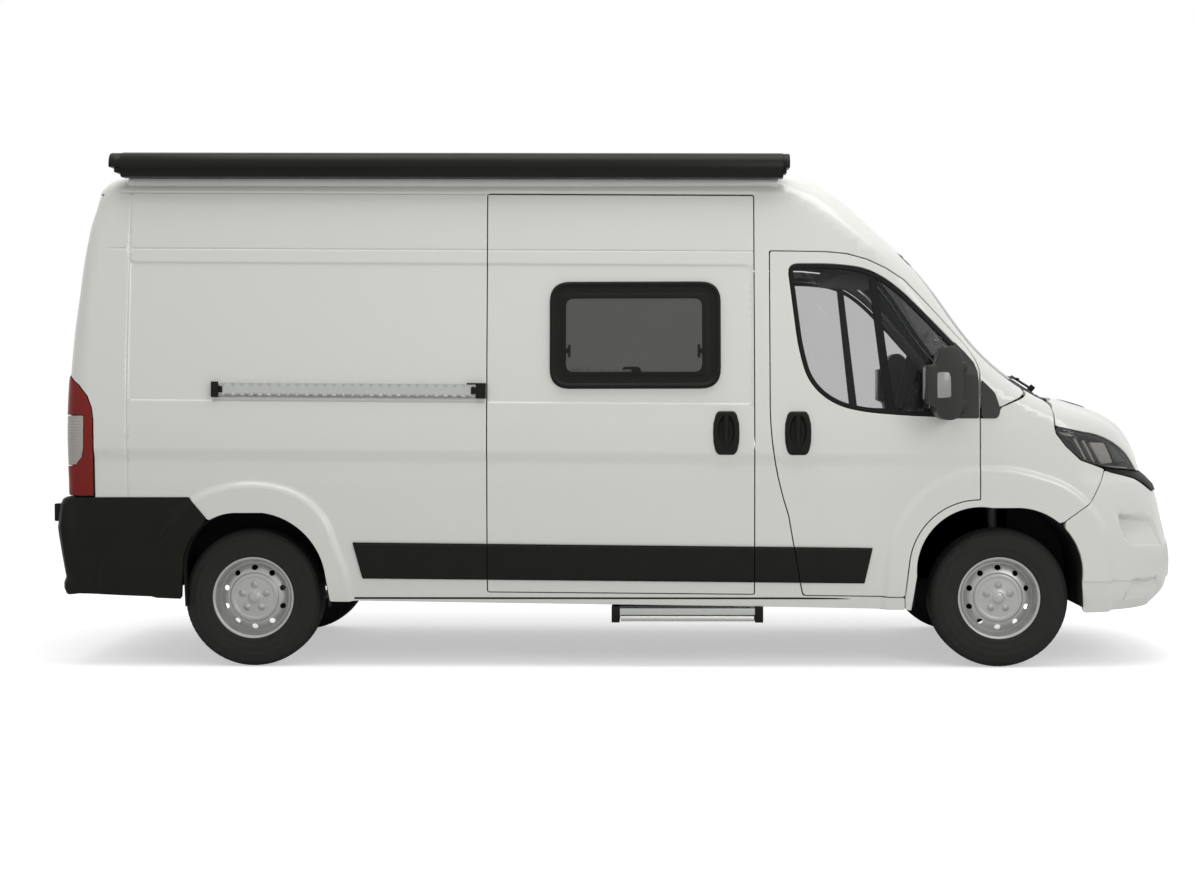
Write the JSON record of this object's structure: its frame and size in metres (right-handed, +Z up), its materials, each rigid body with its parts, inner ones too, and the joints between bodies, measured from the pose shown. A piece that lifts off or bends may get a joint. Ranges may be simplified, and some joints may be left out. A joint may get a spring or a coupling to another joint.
{
  "type": "camper van",
  "caption": "Long-wheelbase high-roof camper van with sliding side door, roof awning cassette, extending entry step, opening cab and rear doors, bonnet, and steered front wheels.",
  "frame": {"origin": "on the ground under the middle of the vehicle's length and width", "axes": "+X towards the nose, +Y towards the vehicle's left side, +Z up; the sliding door is on the -Y side"},
  "size_m": [6.1668, 2.5214, 2.7974],
  "materials": {
    "body_paint": "glossy",
    "underbody": "satin",
    "black_plastic": "matte",
    "clear_glass": "glossy",
    "dark_pane": "glossy",
    "lamp_lens": "glossy",
    "red_lens": "glossy",
    "anodised": "satin",
    "anthracite": "satin",
    "wheel_steel": "satin",
    "tyre_rubber": "matte",
    "cast_parts": "matte",
    "seat_cloth": "woven",
    "cab_plastic": "matte"
  },
  "bodies": {
    "body": {"awning": "anthracite", "cab_frame": "body_paint", "cab_seats": "seat_cloth", "chassis_frame": "underbody", "dashboard": "cab_plastic", "engine_block": "cast_parts", "floor_pan": "underbody", "front_bumper": "body_paint", "front_wings": "body_paint", "headlamps": "lamp_lens", "rear_axle": "cast_parts", "rear_bumper": "black_plastic", "roof_panel": "body_paint", "side_mouldings": "black_plastic", "side_panel_left": "body_paint", "side_panel_right": "body_paint", "side_window_frame": "black_plastic", "side_window_pane": "dark_pane", "slide_rail": "anodised", "sliding_door": "body_paint", "sliding_door_handle": "black_plastic", "steering_wheel": "cab_plastic", "step_housing": "underbody", "tail_lamps": "red_lens", "windscreen": "clear_glass"},
    "door_right": {"cab_door_right": "body_paint", "cab_door_glass_right": "clear_glass", "cab_door_handle_right": "black_plastic", "mirror_right": "black_plastic", "cab_door_moulding_right": "black_plastic"},
    "door_left": {"cab_door_left": "body_paint", "cab_door_glass_left": "clear_glass", "cab_door_handle_left": "black_plastic", "mirror_left": "black_plastic", "cab_door_moulding_left": "black_plastic"},
    "tailgate_right": {"rear_door_right": "body_paint", "rear_door_glass_right": "clear_glass"},
    "tailgate_left": {"rear_door_left": "body_paint", "rear_door_glass_left": "clear_glass"},
    "bonnet": {"bonnet": "body_paint"},
    "step": {"step_tread": "anodised"},
    "steering_right": {"front_knuckle_right": "cast_parts"},
    "steering_left": {"front_knuckle_left": "cast_parts"},
    "wheel_front_right": {"wheel_front_right": "wheel_steel", "tyre_front_right": "tyre_rubber"},
    "wheel_front_left": {"wheel_front_left": "wheel_steel", "tyre_front_left": "tyre_rubber"},
    "wheel_rear_right": {"wheel_rear_right": "wheel_steel", "tyre_rear_right": "tyre_rubber"},
    "wheel_rear_left": {"wheel_rear_left": "wheel_steel", "tyre_rear_left": "tyre_rubber"}
  },
  "joints": [
    {"name": "cab_door_right_hinge", "type": "hinge", "parent": "body", "child": "door_right", "pos_m": [1.928, -1.033, 1.3], "axis": [0, 0, 1], "range_deg": [0, 70]},
    {"name": "cab_door_left_hinge", "type": "hinge", "parent": "body", "child": "door_left", "pos_m": [1.928, 1.033, 1.3], "axis": [0, 0, -1], "range_deg": [0, 70]},
    {"name": "rear_door_right_hinge", "type": "hinge", "parent": "body", "child": "tailgate_right", "pos_m": [-3.066, -0.852, 0.836], "axis": [0.0589, 0, 0.9983], "range_deg": [0, 180]},
    {"name": "rear_door_left_hinge", "type": "hinge", "parent": "body", "child": "tailgate_left", "pos_m": [-3.066, 0.852, 0.836], "axis": [-0.0589, 0, -0.9983], "range_deg": [0, 180]},
    {"name": "bonnet_hinge", "type": "hinge", "parent": "body", "child": "bonnet", "pos_m": [2.305, 0, 1.462], "axis": [0, -1, 0], "range_deg": [0, 55]},
    {"name": "step_slide", "type": "slide", "parent": "body", "child": "step", "axis": [0, -1, 0], "range_m": [0, 0.24]},
    {"name": "steer_right", "type": "hinge", "parent": "body", "child": "steering_right", "pos_m": [2.039, -0.8, 0.374], "axis": [0, 0, 1], "range_deg": [-33, 33]},
    {"name": "steer_left", "type": "hinge", "parent": "body", "child": "steering_left", "pos_m": [2.039, 0.8, 0.374], "axis": [0, 0, 1], "range_deg": [-33, 33]},
    {"name": "wheel_front_right_spin", "type": "hinge", "parent": "steering_right", "child": "wheel_front_right", "pos_m": [2.039, -0.863, 0.374], "axis": [0, 1, 0], "continuous": true},
    {"name": "wheel_rear_right_spin", "type": "hinge", "parent": "body", "child": "wheel_rear_right", "pos_m": [-1.996, -0.863, 0.374], "axis": [0, 1, 0], "continuous": true},
    {"name": "wheel_front_left_spin", "type": "hinge", "parent": "steering_left", "child": "wheel_front_left", "pos_m": [2.039, 0.863, 0.374], "axis": [0, 1, 0], "continuous": true},
    {"name": "wheel_rear_left_spin", "type": "hinge", "parent": "body", "child": "wheel_rear_left", "pos_m": [-1.996, 0.863, 0.374], "axis": [0, 1, 0], "continuous": true}
  ],
  "couplings": [
    {"joint": "steer_left", "follows": "steer_right", "ratio": 1}
  ]
}
